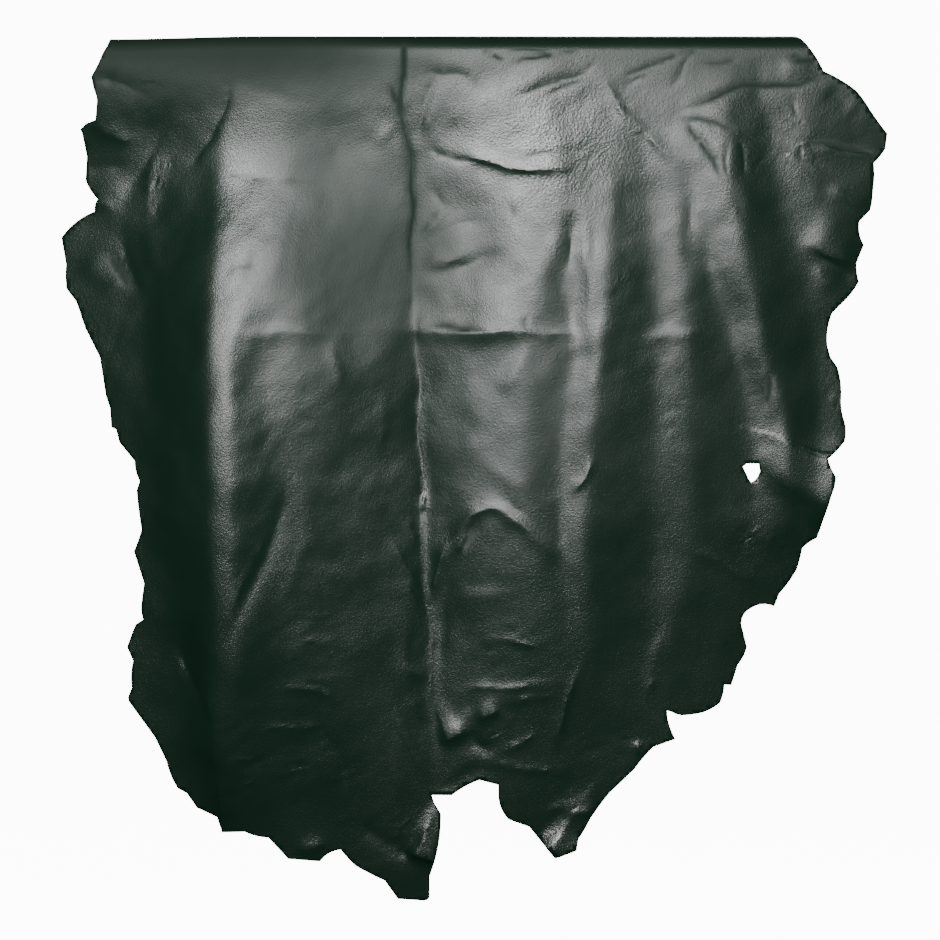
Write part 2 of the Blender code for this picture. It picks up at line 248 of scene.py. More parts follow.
# The hanging folds, left to right. Each row is one crest or hollow line, and how
# softly the leather turns over it. It crosses nine level sections, the first
# just below the rail.
FIRST_SECTION = 50
SECTION_SPACING = 230
FOLDS = (  # name, softness, x at each section, depth at each section
    ("left edge", 30, (-820, -855, -910, -820, -735, -745, -755, -695, -580),
     (4, -58, -80, -56, -34, -22, -16, -10, -4)),
    ("left lobe", 30, (-750, -750, -770, -760, -710, -710, -705, -635, -540),
     (5, -46, -60, -44, -28, -18, -12, -6, -2)),
    ("left hollow", 22, (-670, -660, -690, -700, -675, -660, -605, -600, -505),
     (6, -41, -40, -30, -14, -6, 2, -2, 0)),
    ("big fold", 18, (-530, -530, -550, -560, -560, -555, -550, -540, -475),
     (4, -18, 15, 37, 45, 45, 44, 29, 4)),
    ("big fold's foot", 16, (-465, -465, -480, -505, -500, -500, -495, -495, -450),
     (4, -18, 15, 38, 46, 46, 45, 30, 4)),
    ("step foot", 24, (-435, -435, -415, -435, -420, -415, -400, -425, -415),
     (3, -18, 13.5, 21, 22, 22, 22, 16, 2)),
    ("step crest", 26, (-390, -400, -375, -350, -335, -325, -325, -365, -375),
     (2, -16, 8, 16, 12, 10, 12, 9, 0)),
    ("panel hollow", 26, (-260, -270, -245, -255, -250, -240, -245, -260, -270),
     (-3, -27, -19, -1, -5, -3, 2, 0, -4)),
    ("spine slope", 10, (-130, -120, -115, -105, -90, -85, -75, -70, -55),
     (-3, -29, -38, -35, -35, -27, -22, -13, -5)),
    ("spine", 5, (-110, -100, -95, -80, -70, -60, -50, -50, -35),
     (-3, -31, -40, -41, -41, -32, -26, -16, -6)),
    ("right panel", 34, (40, 40, 40, 45, 40, 55, 85, 110, 110),
     (0, -17, -26, -18, -15, -10, -8, -5, -4)),
    ("panel shoulder", 34, (200, 240, 205, 170, 155, 200, 235, 250, 250),
     (0, -1, -3, -3, -1, 3, 2, -2, -3)),
    ("streak hollow", 18, (255, 285, 280, 280, 250, 250, 270, 275, 275),
     (0, -3, -6, -8, -9, -5, 0, -3, -3)),
    ("streak", 15, (335, 360, 350, 340, 315, 305, 315, 315, 315),
     (0, -6, 3, 4, 0, 2, 0, -3, -3)),
    ("deep hollow", 24, (445, 445, 465, 470, 460, 455, 455, 455, 455),
     (0, -9, -14, -16, -18, -18, -12, -5, -3)),
    ("first right crest", 18, (490, 495, 535, 545, 545, 545, 495, 500, 500),
     (0, -5, -7, -10, -13, -16, -10, -5, -3)),
    ("second hollow", 16, (545, 545, 585, 655, 690, 660, 570, 560, 560),
     (0, -2, -12, -22, -28, -24, -16, -6, -3)),
    ("second right crest", 16, (630, 635, 670, 720, 775, 745, 650, 630, 630),
     (0, 8, 4, -7, -13, -27, -20, -7, -3)),
    ("right hollow", 20, (725, 735, 795, 835, 840, 800, 745, 720, 720),
     (0, -9, -15, -27, -26, -31, -24, -8, -3)),
    ("right lobe", 16, (810, 810, 870, 890, 890, 860, 800, 800, 800),
     (0, -3, -12, -25, -24, -33, -27, -9, -3)),
    ("right edge", 20, (915, 975, 965, 945, 945, 915, 890, 890, 890),
     (0, -12, -22, -31, -27, -36, -31, -10, -3)),
)

# The creases. A path runs down or to the right. Its first width is on its left or
# below it, its second on its right or above it, and a height above 0 is a ridge.
CREASES = (  # name, path of (x, drop), left or lower width, right or upper width, height
    ("left edge notch", ((-828, 91), (-800, 93), (-764, 105)), 12, 14, -4),
    ("left ear fold",
     ((-865, 199), (-833, 201), (-810, 210), (-787, 222), (-759, 236), (-718, 240)),
     8, 20, 3.4),
    ("left ear fold, lower", ((-846, 309), (-800, 305), (-741, 289)), 14, 14, -2),
    ("left armpit", ((-635, 125), (-672, 217), (-713, 291), (-743, 351), (-754, 411)), 30, 20, -5),
    ("armpit edge",
     ((-520, 56), (-513, 107), (-520, 153), (-540, 206), (-575, 266), (-626, 342)),
     90, 8, -3.6),
    ("ear line", ((-819, 84), (-747, 114), (-690, 148)), 4.5, 5.2, -1.3),
    ("panel cross line, upper", ((-589, 314), (-488, 321), (-373, 330), (-235, 337)), 4, 4, -0.7),
    ("armpit wrinkle", ((-676, 240), (-695, 293), (-702, 351), (-697, 408), (-685, 480)), 16, 16, 2),
    ("armpit bulge", ((-754, 342), (-770, 374), (-775, 404), (-782, 429)), 16, 7, 1),
    ("left edge pull", ((-833, 381), (-800, 385), (-773, 383)), 12, 10, 2.5),
    ("left lobe line", ((-773, 420), (-764, 470), (-743, 526), (-718, 585), (-704, 618)), 10, 8, -2.2),
    ("left lobe line, outer", ((-805, 480), (-773, 528), (-745, 572), (-727, 599)), 8, 8, -2),
    ("left lobe ridge", ((-718, 415), (-695, 466), (-681, 516), (-672, 581)), 14, 14, 1.6),
    ("left lobe patch", ((-869, 516), (-828, 539), (-782, 562), (-741, 595)), 26, 26, 3),
    ("panel top crease", ((-529, 93), (-465, 118), (-386, 144), (-308, 160)), 9, 9, -1.2),
    ("panel nick", ((-313, 84), (-285, 54), (-253, 33)), 7, 7, 1.4),
    ("panel vertical soft", ((-299, 162), (-285, 213), (-267, 263), (-246, 316)), 12, 26, -2),
    ("panel bright blob", ((-184, 250), (-156, 231), (-129, 213)), 14, 14, 1.4),
    ("panel oblique line", ((-382, 319), (-405, 369), (-460, 438), (-481, 470)), 6, 6, -0.4),
    ("panel cross line", ((-552, 544), (-501, 537), (-423, 528)), 3.5, 3.5, -0.6),
    ("panel line, right", ((-350, 365), (-373, 466), (-379, 516), (-368, 585)), 9, 7, -0.8),
    ("panel line, inner", ((-442, 466), (-460, 516), (-474, 581)), 8, 8, -0.6),
    ("panel tilt line", ((-140, 351), (-110, 392)), 4, 4, 0.9),
    ("cross crease, left",
     ((-566, 682), (-499, 682), (-396, 682), (-246, 680), (-184, 682)),
     14, 7, 1.8),
    ("cross crease step", ((-488, 691), (-437, 693), (-386, 691)), 40, 8, 1.5),
    ("panel thin ridge", ((-278, 691), (-269, 746), (-251, 825)), 8, 10, 1.3),
    ("panel oblique lines", ((-258, 710), (-221, 751), (-175, 785), (-124, 799)), 6, 5, 1),
    ("panel plumb line", ((-156, 788), (-154, 838), (-163, 926), (-166, 986)), 7, 6, 1),
    ("panel short cross", ((-359, 907), (-331, 905), (-304, 910)), 7, 5, 0.8),
    ("slanting wrinkle",
     ((-377, 889), (-402, 935), (-428, 979), (-451, 1032), (-469, 1078)),
     9, 7, 1.1),
    ("slanting wrinkle, outer", ((-396, 903), (-419, 940), (-437, 972)), 5, 5, 0.9),
    ("slanting hollow",
     ((-377, 940), (-386, 1018), (-391, 1087), (-414, 1165), (-451, 1248), (-488, 1321), (-520, 1409),
      (-547, 1459)),
     14, 18, -3.2),
    ("slanting edge",
     ((-396, 1091), (-428, 1160), (-465, 1234), (-497, 1308), (-520, 1386)),
     7, 5, 1.2),
    ("second crest",
     ((-336, 953), (-350, 1004), (-343, 1064), (-327, 1133), (-340, 1193), (-377, 1271), (-423, 1354)),
     12, 20, 1),
    ("crest wing", ((-308, 1156), (-336, 1183), (-359, 1216)), 10, 10, 0.5),
    ("spine groove",
     ((-101, -224), (-106, 10), (-108, 98), (-120, 153), (-113, 212), (-99, 245), (-94, 325),
      (-94, 401), (-95, 477), (-98, 546), (-97, 615), (-90, 719)),
     4.5, 4, -1.9),
    ("spine groove, fork", ((-140, 102), (-129, 153), (-115, 199)), 7, 7, -1.6),
    ("spine trough",
     ((-101, 434), (-92, 539), (-83, 680), (-69, 795), (-67, 910), (-63, 1022), (-63, 1110),
      (-62, 1202), (-52, 1294), (-48, 1377), (-48, 1471), (-55, 1567), (-57, 1643)),
     34, 17, -1.2),
    ("spine ridge",
     ((-80, 516), (-75, 604), (-74, 680), (-69, 795), (-67, 910), (-63, 1022), (-63, 1110), (-62, 1202),
      (-52, 1294), (-48, 1377), (-48, 1471), (-55, 1567), (-55, 1620), (-46, 1892)),
     4.5, 4.5, 1.5),
    ("spine knot", ((-67, 1041), (-64, 1068), (-63, 1096)), 7, 5, 2.4),
    ("fan, left outer",
     ((-152, 1133), (-136, 1167), (-115, 1202), (-94, 1248), (-71, 1285), (-53, 1305)),
     6, 6, 2.2),
    ("fan, left inner", ((-106, 1101), (-90, 1140), (-71, 1179)), 5, 5, 1.3),
    ("fan, left fold", ((-110, 1239), (-97, 1285), (-78, 1317), (-60, 1335)), 9, 7, 1.6),
    ("fan, right", ((-5, 1149), (-25, 1206), (-37, 1262), (-48, 1308)), 6, 7, 2.6),
    ("fan hollow", ((2, 1183), (-14, 1266), (-23, 1344), (-23, 1432), (-18, 1505)), 15, 11, -2.8),
    ("spine left edge",
     ((-101, 1308), (-108, 1386), (-103, 1459), (-92, 1505), (-64, 1561)),
     14, 10, 1.6),
    ("lower fan", ((-110, 1441), (-87, 1471), (-53, 1473)), 5, 6, 1.2),
    ("lower fan, left", ((-99, 1510), (-78, 1544), (-55, 1574)), 5, 5, 1.6),
    ("left leg ridge",
     ((-147, 1501), (-129, 1551), (-108, 1604), (-83, 1655), (-51, 1724)),
     9, 14, 2.4),
    ("left leg band", ((-124, 1574), (-120, 1662), (-117, 1745), (-101, 1786)), 12, 14, 1.6),
    ("left leg tip", ((-110, 1860), (-69, 1880), (-18, 1896)), 8, 64, 11),
    ("neck V, left", ((69, 24), (97, 45), (124, 66)), 3.8, 4.5, -1.5),
    ("neck V, right", ((110, 68), (179, 59), (246, 43), (322, 20)), 3.8, 4.5, -1.6),
    ("neck V, upper", ((110, 38), (179, 38), (253, 29)), 3.5, 3.5, -1.4),
    ("neck line", ((-90, 72), (-41, 89), (9, 84), (37, 95), (64, 123), (101, 135)), 5.2, 4.5, -1.2),
    ("neck line, lower",
     ((122, 146), (186, 132), (239, 109), (281, 91), (320, 68), (345, 29)),
     3.8, 4.5, -1.4),
    ("neck line, twin", ((193, 153), (239, 132), (285, 107), (322, 89)), 3.8, 3.8, -1.1),
    ("neck band", ((110, 125), (179, 112), (239, 86), (294, 56)), 14, 14, 0.9),
    ("spine fold", ((-14, 61), (-46, 116), (-67, 171), (-78, 268)), 6, 9, -1.3),
    ("spine fold crest", ((-21, 93), (-48, 162), (-64, 236)), 9, 18, 1.6),
    ("neck tongue", ((-87, 233), (-51, 252), (-9, 275), (28, 286), (78, 296)), 3.5, 3.8, -1.2),
    ("neck smile",
     ((-28, 254), (23, 277), (64, 289), (106, 301), (161, 307), (221, 309), (276, 302), (331, 291)),
     5.5, 16, 2.8),
    ("neck smile, upper", ((78, 284), (138, 278), (202, 275), (262, 273), (327, 256)), 3.8, 3.8, -0.9),
    ("neck smile, end", ((262, 312), (308, 289), (345, 263)), 4.5, 4.5, -0.9),
    ("neck slant", ((-69, 314), (-37, 365), (5, 417)), 3.5, 3.5, -0.9),
    ("neck slant, back", ((-78, 466), (-51, 424), (-23, 388)), 3.8, 3.8, -0.9),
    ("neck slant, wide", ((-74, 466), (-37, 424), (5, 388)), 8, 12, 1.6),
    ("neck slant, lower", ((-64, 482), (-18, 450), (32, 431), (92, 436)), 10, 9, -1.5),
    ("neck blob", ((-74, 526), (-32, 530), (9, 514), (55, 489)), 7, 34, 2.6),
    ("neck dark fold", ((-83, 544), (-28, 544), (12, 532), (62, 514), (129, 503)), 14, 13, -2.4),
    ("neck soft streak", ((64, 565), (124, 578), (202, 590)), 12, 12, -1),
    ("neck soft rise", ((-55, 631), (-5, 618), (51, 604)), 8, 26, 1.4),
    ("neck soft rise, right", ((110, 604), (170, 576), (202, 535)), 14, 14, 1),
    ("neck mark", ((133, 388), (152, 420)), 4, 4, -0.9),
    ("cross lip", ((-69, 661), (-46, 674), (18, 678), (110, 681), (225, 684), (354, 687)), 16, 5, 2),
    ("cross lip groove", ((-78, 659), (-28, 661), (23, 666), (97, 673)), 5, 6, -1.4),
    ("cross lip wedge", ((-221, 668), (-64, 673), (64, 675), (248, 682)), 22, 60, 6),
    ("cross lip, far right", ((432, 684), (497, 687), (570, 689)), 14, 7, 2.4),
    ("lip blob", ((179, 691), (156, 733), (133, 783), (124, 838)), 16, 20, 2),
    ("mark under the lip", ((170, 645), (163, 682)), 4, 4, -1),
    ("streak twin", ((255, 411), (237, 461), (232, 516), (244, 558)), 9, 12, 0.9),
    ("streak ridge", ((290, 351), (304, 434), (313, 516), (313, 604), (313, 719)), 10, 10, 1.9),
    ("streak lens", ((283, 388), (278, 457), (274, 516), (258, 572)), 9, 10, -1.8),
    ("streak side line", ((313, 424), (322, 480), (322, 539)), 3.5, 3.5, -0.7),
    ("streak hollow, low", ((218, 493), (253, 572), (278, 645), (290, 723)), 18, 15, -2.4),
    ("streak loop", ((322, 949), (313, 995), (290, 1032), (267, 1059)), 8, 6, 2.2),
    ("streak foot", ((239, 1064), (251, 1133), (248, 1183)), 10, 8, -1),
    ("streak gore", ((363, 300), (373, 374), (368, 457)), 14, 20, 1.2),
    ("shoulder ridge",
     ((327, 52), (340, 91), (359, 121), (375, 160), (402, 194), (439, 229), (483, 263), (524, 293),
      (557, 323)),
     6, 12, 2.6),
    ("shoulder ridge groove",
     ((354, 79), (373, 121), (396, 162), (432, 199), (469, 231)),
     4.5, 5.2, -0.9),
    ("shoulder crease",
     ((368, 135), (382, 116), (400, 95), (439, 75), (485, 56), (524, 45), (584, 20)),
     3.8, 4.5, -1.3),
    ("shoulder crease, twin", ((377, 139), (400, 116), (439, 93), (478, 77)), 3.5, 3.8, -0.9),
    ("shoulder nick", ((492, 139), (501, 121), (524, 82), (564, 24), (575, 1)), 3.5, 3.8, -1.1),
    ("long crease",
     ((478, 185), (520, 171), (570, 155), (623, 137), (669, 116), (724, 114), (777, 114), (823, 105),
      (915, 79)),
     4.5, 5.2, -1.8),
    ("long crease, twin", ((547, 153), (580, 141), (623, 125), (672, 107)), 3.5, 3.8, -0.9),
    ("pocket edge",
     ((506, 162), (524, 185), (554, 229), (586, 275), (610, 312), (635, 360)),
     4.5, 5.2, -1.6),
    ("pocket edge, inner", ((543, 194), (570, 229), (600, 275), (626, 319)), 3.8, 3.8, -0.9),
    ("pocket top", ((506, 178), (570, 194), (616, 206), (681, 222)), 5.2, 4.5, -1.4),
    ("pocket lens", ((635, 222), (623, 259), (626, 300), (639, 346)), 3.5, 3.5, -1.3),
    ("pocket lens groove", ((642, 227), (667, 259), (674, 300), (662, 337)), 3.5, 3.8, -1.1),
    ("pocket tail", ((639, 337), (656, 388), (667, 447)), 3.8, 5.2, -1.2),
    ("right cross crease",
     ((791, 231), (828, 243), (876, 254), (922, 263), (994, 275)),
     4.5, 7.5, -1.9),
    ("right cross lip", ((814, 254), (883, 266), (994, 286)), 9, 5, 1.8),
    ("cluster arc, upper", ((777, 107), (780, 153), (791, 190), (819, 227)), 3.8, 3.8, -1),
    ("cluster arc, left", ((745, 130), (764, 181), (791, 213), (833, 236)), 3.8, 3.8, -0.9),
    ("cluster arc, lower", ((800, 222), (796, 263), (814, 300), (860, 337)), 4.5, 4.5, -1.1),
    ("cluster arc, right", ((833, 236), (828, 273), (846, 305), (888, 328)), 3.8, 3.8, -0.8),
    ("cluster ray", ((690, 215), (764, 229), (828, 243)), 3.8, 3.8, -0.9),
    ("shoulder crease, faint", ((557, 70), (589, 61), (630, 61), (672, 47)), 3.8, 3.8, -1.1),
    ("ear crease", ((768, 29), (787, 56), (828, 61), (856, 52)), 8, 8, -1.8),
    ("ear hollow", ((699, 29), (702, 107), (699, 171)), 18, 18, -1.8),
    ("ear patch", ((745, 75), (791, 66), (837, 66)), 16, 16, 3.4),
    ("right hollow patch", ((846, 125), (883, 144), (915, 171)), 16, 16, -2.4),
    ("right edge line", ((902, 199), (925, 181), (952, 162)), 4.5, 4.5, -1.2),
    ("right flank bright", ((851, 351), (906, 369), (966, 392)), 12, 14, 3),
    ("right patch", ((796, 466), (865, 507), (938, 535)), 10, 60, 5),
    ("right patch underside", ((814, 475), (860, 516), (911, 558), (934, 585)), 13, 9, -4),
    ("right lobe ridges", ((828, 516), (851, 558), (883, 585)), 9, 9, 2),
    ("bright band split", ((741, 769), (727, 811), (713, 861)), 6, 5, -2),
    ("shoulder slope", ((584, 337), (575, 388), (570, 457), (584, 516)), 14, 14, 1.2),
    ("shoulder slope groove", ((552, 342), (547, 401), (538, 484), (547, 558)), 12, 10, -1.4),
    ("middle band arc", ((483, 903), (501, 884), (529, 880), (552, 907)), 7, 6, 0.8),
    ("middle band arc, inner", ((497, 921), (520, 903), (547, 930)), 6, 5, 0.5),
    ("flank shelf", ((929, 926), (906, 1004), (860, 1073), (810, 1133)), 80, 20, 22),
    ("flank shelf, lower", ((777, 1064), (819, 1078), (860, 1091)), 12, 8, -2),
    ("belly ledge", ((41, 976), (92, 999), (147, 1022), (198, 1045)), 12, 14, 1),
    ("belly groove", ((87, 1032), (120, 1059), (156, 1091), (198, 1133), (253, 1193)), 10, 9, -2.2),
    ("belly arch",
     ((-34, 1298), (-16, 1225), (2, 1167), (25, 1124), (57, 1094), (94, 1082), (131, 1096), (170, 1130),
      (214, 1172), (262, 1211), (299, 1243)),
     10, 14, 3),
    ("arch groove", ((23, 1193), (32, 1160), (51, 1133), (78, 1124)), 8, 8, -1.4),
    ("arch inner", ((37, 1128), (23, 1165), (5, 1193)), 5, 5, 2),
    ("belly cross, soft", ((0, 1266), (60, 1289), (110, 1280), (166, 1271)), 14, 12, 0.9),
    ("belly line", ((106, 1388), (156, 1393), (216, 1404)), 4, 5, 1),
    ("lower cross wrinkle",
     ((-14, 1505), (55, 1498), (133, 1496), (212, 1489), (281, 1480)),
     8, 6, 1.5),
    ("lower cross wrinkle, twin", ((64, 1528), (156, 1524), (230, 1517), (267, 1496)), 7, 5, 1),
    ("lower slant",
     ((308, 1409), (290, 1473), (262, 1524), (246, 1574), (235, 1620), (216, 1657)),
     7, 6, 1.8),
    ("lower pucker", ((-37, 1620), (-5, 1613), (37, 1588)), 8, 34, 6),
    ("lower pucker, right", ((51, 1563), (80, 1561), (115, 1542)), 6, 22, 3.6),
    ("pucker hollow", ((23, 1561), (37, 1542), (51, 1524)), 7, 7, -1),
    ("pocket above the notch", ((23, 1588), (55, 1625), (106, 1653)), 16, 14, -4),
    ("slant bands", ((106, 1648), (156, 1620), (202, 1588)), 8, 8, 1.6),
    ("slant bands, lower", ((60, 1666), (110, 1671), (179, 1680), (294, 1694)), 7, 7, 1.2),
    ("right leg line", ((304, 1749), (253, 1768), (202, 1781)), 9, 9, 1.8),
    ("right foot", ((193, 1841), (230, 1869), (271, 1887), (322, 1899)), 7, 50, 15),
    ("right foot edge", ((248, 1781), (294, 1781), (340, 1768)), 10, 14, 3),
    ("flap ridge", ((497, 1331), (469, 1386), (460, 1450), (446, 1515), (437, 1574)), 10, 16, 1.2),
    ("flap nick", ((451, 1478), (469, 1498)), 4, 4, 1.4),
    ("flap foot", ((419, 1611), (430, 1639), (446, 1657)), 8, 7, 3.4),
    ("flap line", ((534, 1151), (584, 1193), (644, 1232), (727, 1275)), 9, 9, 2.2),
    ("flap line, upper", ((607, 1064), (667, 1110), (722, 1156), (777, 1183)), 12, 12, 2),
    ("left leg crease",
     ((-639, 1377), (-616, 1432), (-589, 1487), (-566, 1533), (-547, 1584)),
     9, 9, -2.8),
    ("left leg crease lip", ((-649, 1386), (-626, 1441), (-603, 1492), (-582, 1533)), 7, 6, 1),
    ("left leg spine",
     ((-564, 1478), (-550, 1542), (-543, 1611), (-547, 1680), (-557, 1731)),
     9, 14, 2.6),
    ("belly wrinkle",
     ((-414, 1510), (-382, 1494), (-331, 1496), (-281, 1510), (-230, 1535)),
     7, 8, 1.8),
    ("belly wrinkle, lower", ((-474, 1597), (-405, 1586), (-327, 1586), (-239, 1590)), 7, 7, 1.2),
    ("belly wrinkle, upper", ((-359, 1473), (-304, 1478), (-239, 1480)), 5, 5, 0.9),
    ("belly wrinkle, top", ((-382, 1400), (-313, 1386), (-239, 1404)), 7, 7, 0.9),
    ("belly wrinkle, side", ((-340, 1229), (-304, 1218), (-267, 1239), (-225, 1266)), 7, 7, 1),
    ("belly groove, left",
     ((-331, 1528), (-304, 1574), (-271, 1625), (-248, 1676), (-244, 1754)),
     10, 8, -2),
    ("small pleat", ((-529, 1699), (-527, 1754), (-524, 1814)), 7, 5, 3.6),
    ("left leg hem", ((-359, 1873), (-322, 1857), (-281, 1850)), 12, 14, 4),
    ("left leg fold", ((-230, 1781), (-184, 1823), (-124, 1860), (-64, 1910)), 16, 16, -3.5),
    ("notch curl", ((-51, 1731), (-5, 1722), (41, 1689), (78, 1685), (115, 1699)), 20, 13, -2),
)

# Patches of small wrinkles. Half lengths lie along the wrinkles, whose slope is in
# degrees, from level at 0 to upright at 90.
WRINKLES = (  # name, x, drop, half length, half width, slope, spacing, height
    ("neck pebbles", 283, 213, 78, 101, 50, 11, 0.28),
    ("neck pebbles, low", 331, 300, 60, 51, 50, 10, 0.24),
    ("armpit wrinkles", -676, 339, 101, 41, 80, 10, 0.55),
    ("ear wrinkles", -741, 185, 69, 51, 10, 9, 0.34),
    ("cluster wrinkles", 800, 259, 101, 60, 70, 11, 0.48),
    ("cluster wrinkles, left", 702, 282, 60, 32, 86, 9, 0.5),
    ("pocket wrinkles", 580, 222, 51, 37, 60, 8, 0.34),
    ("shoulder wrinkles", 432, 171, 69, 60, 20, 11, 0.38),
    ("left panel grain", -460, 420, 161, 78, 40, 14, 0.29),
    ("left edge streaks", -798, 742, 207, 60, 80, 16, 0.5),
    ("left flank streaks", -695, 1110, 230, 55, 86, 18, 0.59),
    ("panel streaks", -246, 558, 138, 92, 80, 20, 0.38),
    ("band ripples", -354, 834, 60, 78, 0, 8, 0.34),
    ("band ripples, low", -322, 1386, 115, 101, 0, 16, 0.5),
    ("fold ripples", -520, 1202, 55, 138, 0, 8, 0.29),
    ("belly ripples", 122, 1386, 138, 138, 0, 13, 0.38),
    ("belly ripples, low", 122, 1593, 115, 78, 25, 14, 0.46),
    ("spine ripples", -80, 1409, 28, 138, 5, 8, 0.34),
    ("middle band ripples", 506, 788, 60, 161, 5, 8, 0.34),
    ("bright band ripples", 690, 765, 51, 138, 0, 8, 0.34),
    ("right edge ripples", 846, 834, 78, 138, 60, 13, 0.42),
    ("right flank ripples", 731, 1156, 115, 92, 30, 14, 0.5),
    ("hollow streaks", 382, 581, 138, 32, 80, 9, 0.42),
    ("left leg ripples", -419, 1662, 207, 115, 10, 22, 0.67),
    ("left foot ripples", -143, 1823, 115, 69, 30, 18, 0.59),
    ("right leg ripples", 294, 1662, 138, 92, 20, 18, 0.55),
    ("top streaks", -350, 75, 276, 51, 20, 16, 0.34),
)


def bend_run(drop):
    """How far down the sheet from the bend's crown a point at this drop lies."""
    if drop >= RAIL_RADIUS:
        return QUARTER_TURN + drop - RAIL_RADIUS
    return RAIL_RADIUS * math.acos(1 - drop / RAIL_RADIUS)


def edge_run(rows):
    """Points round a closed table of tips, each run bowed to the left of its way."""
    points = []
    for (x, y, bow), (end_x, end_y, _) in zip(rows, rows[1:] + rows[:1]):
        length = math.hypot(end_x - x, end_y - y)
        steps = max(1, round(length / ARC_STEP)) if bow else 1
        for step in range(steps):
            part = step / steps
            swell = 4 * bow * part * (1 - part) / length
            points.append(
                (
                    x + (end_x - x) * part - (end_y - y) * swell,
                    y + (end_y - y) * part + (end_x - x) * swell,
                )
            )
    return points


def read_sections(drop, values):
    """Reads the smooth curve through a line's values at the even sections, at any drops."""
    places = np.clip((drop - FIRST_SECTION) / SECTION_SPACING, 0, len(values) - 1)
    index = np.minimum(places.astype(int), len(values) - 2)
    part = places - index
    padded = np.concatenate([values[:1], values, values[-1:]])
    before, start, end, after = (padded[index + step] for step in range(4))
    bend = 2 * before - 5 * start + 4 * end - after
    twist = 3 * (start - end) + after - before
    return start + part * (end - before + part * (bend + part * twist)) / 2


def rounded(path):
    """A path with its corners cut twice, so that it bends softly."""
    points = np.array(path, float)
    for _ in range(2):
        near = (1 - CORNER_CUT) * points[:-1] + CORNER_CUT * points[1:]
        far = CORNER_CUT * points[:-1] + (1 - CORNER_CUT) * points[1:]
        inner = np.stack([near, far], axis=1).reshape(-1, 2)
        points = np.concatenate([points[:1], inner, points[-1:]])
    return points


def uneven(x, y, length, seed):
    """A smooth random field from about -1 to 1, whose lumps are about this long."""
    turns = np.random.default_rng(seed).uniform(0, math.tau, (GRID, GRID))
    across = (x * math.cos(seed) - y * math.sin(seed)) / length
    down = (x * math.sin(seed) + y * math.cos(seed)) / length
    column, row = np.floor(across).astype(int), np.floor(down).astype(int)
    across, down = across - column, down - row

    def slope(right, below):
        turn = turns[(column + right) % GRID, (row + below) % GRID]
        return np.cos(turn) * (across - right) + np.sin(turn) * (down - below)

    ease_across, ease_down = (part**3 * (part * (part * 6 - 15) + 10) for part in (across, down))
    upper = slope(0, 0) + (slope(1, 0) - slope(0, 0)) * ease_across
    lower = slope(0, 1) + (slope(1, 1) - slope(0, 1)) * ease_across
    return (upper + (lower - upper) * ease_down) * FIELD_GAIN


def along_and_across(x, drop, points):
    """How far along the path the nearest point lies, from 0 to 1, and how far right of or above it."""
    lengths = np.hypot(*np.diff(points, axis=0).T)
    starts = np.concatenate([[0], np.cumsum(lengths)])
    along, across = np.zeros(len(x)), np.full(len(x), np.inf)
    for (start_x, start_y), (end_x, end_y), length, start in zip(points, points[1:], lengths, starts):
        run_x, run_y = (end_x - start_x) / length, (end_y - start_y) / length
        off_x, off_y = x - start_x, drop - start_y
        reach = np.clip(off_x * run_x + off_y * run_y, 0, length)
        gap = np.hypot(off_x - reach * run_x, off_y - reach * run_y)
        side = np.where(run_x * off_y - run_y * off_x < 0, 1, -1)
        nearer = gap < np.abs(across)
        along = np.where(nearer, (start + reach) / starts[-1], along)
        across = np.where(nearer, gap * side, across)
    return along, across


def add_crease(relief, x, drop, path, left_width, right_width, height):
    """Adds one crease: a narrow crest or groove with hollow flanks, which dies away at both ends."""
    points = rounded(path)
    reach = CREASE_REACH * max(left_width, right_width)
    low, high = points.min(axis=0) - reach, points.max(axis=0) + reach
    near = (x > low[0]) & (x < high[0]) & (drop > low[1]) & (drop < high[1])
    along, across = along_and_across(x[near], drop[near], points)
    widths = (left_width + right_width) / 2 + (right_width - left_width) / 2 * np.tanh(across / CREASE_TURN)
    flank = np.sqrt((across / widths) ** 2 + CREASE_ROUND**2) - CREASE_ROUND
    fade = soft_step(np.minimum(along, 1 - along), 0, CREASE_FADE)
    relief[near] += height * fade * np.exp(-flank)


def add_wrinkles(relief, x, drop, seed, patch):
    """Adds one patch of small wrinkles that all run much the same way."""
    centre_x, centre_drop, half_length, half_width, slope, spacing, height = patch
    reach = WRINKLE_REACH * max(half_length, half_width)
    near = (np.abs(x - centre_x) < reach) & (np.abs(drop - centre_drop) < reach)
    off_x, off_y = x[near] - centre_x, drop[near] - centre_drop
    turn = math.radians(slope)
    along = off_x * math.cos(turn) - off_y * math.sin(turn)
    across = off_x * math.sin(turn) + off_y * math.cos(turn)
    share = np.exp(-((along / half_length) ** 2) - (across / half_width) ** 2)
    bent = across + spacing * uneven(along, across, WRINKLE_STRETCH * spacing, seed)
    folds = 1 - 2 * np.abs(uneven(along / WRINKLE_STRETCH, bent, spacing, seed + 1))
    relief[near] += height * share * folds


def soft_step(value, start, full):
    """Rises softly from 0 at the start to 1 where it is full."""
    part = np.clip((value - start) / (full - start), 0, 1)
    return part**2 * (3 - 2 * part)


def fold_relief(x, drop):
    """The hanging folds: straight flanks that turn softly over each crest and hollow line."""
    xs = np.stack([read_sections(drop, line_xs) for _, _, line_xs, _ in FOLDS], axis=1)
    depths = np.stack([read_sections(drop, line_depths) for _, _, _, line_depths in FOLDS], axis=1)
    softness = np.array([soft for _, soft, _, _ in FOLDS[1:-1]])
    slopes = np.diff(depths, axis=1) / np.diff(xs, axis=1)
    past = x[:, None] - xs[:, 1:-1]
    turned = (past + np.sqrt(past**2 + softness**2)) / 2
    return depths[:, 0] + slopes[:, 0] * (x - xs[:, 0]) + (np.diff(slopes, axis=1) * turned).sum(axis=1)


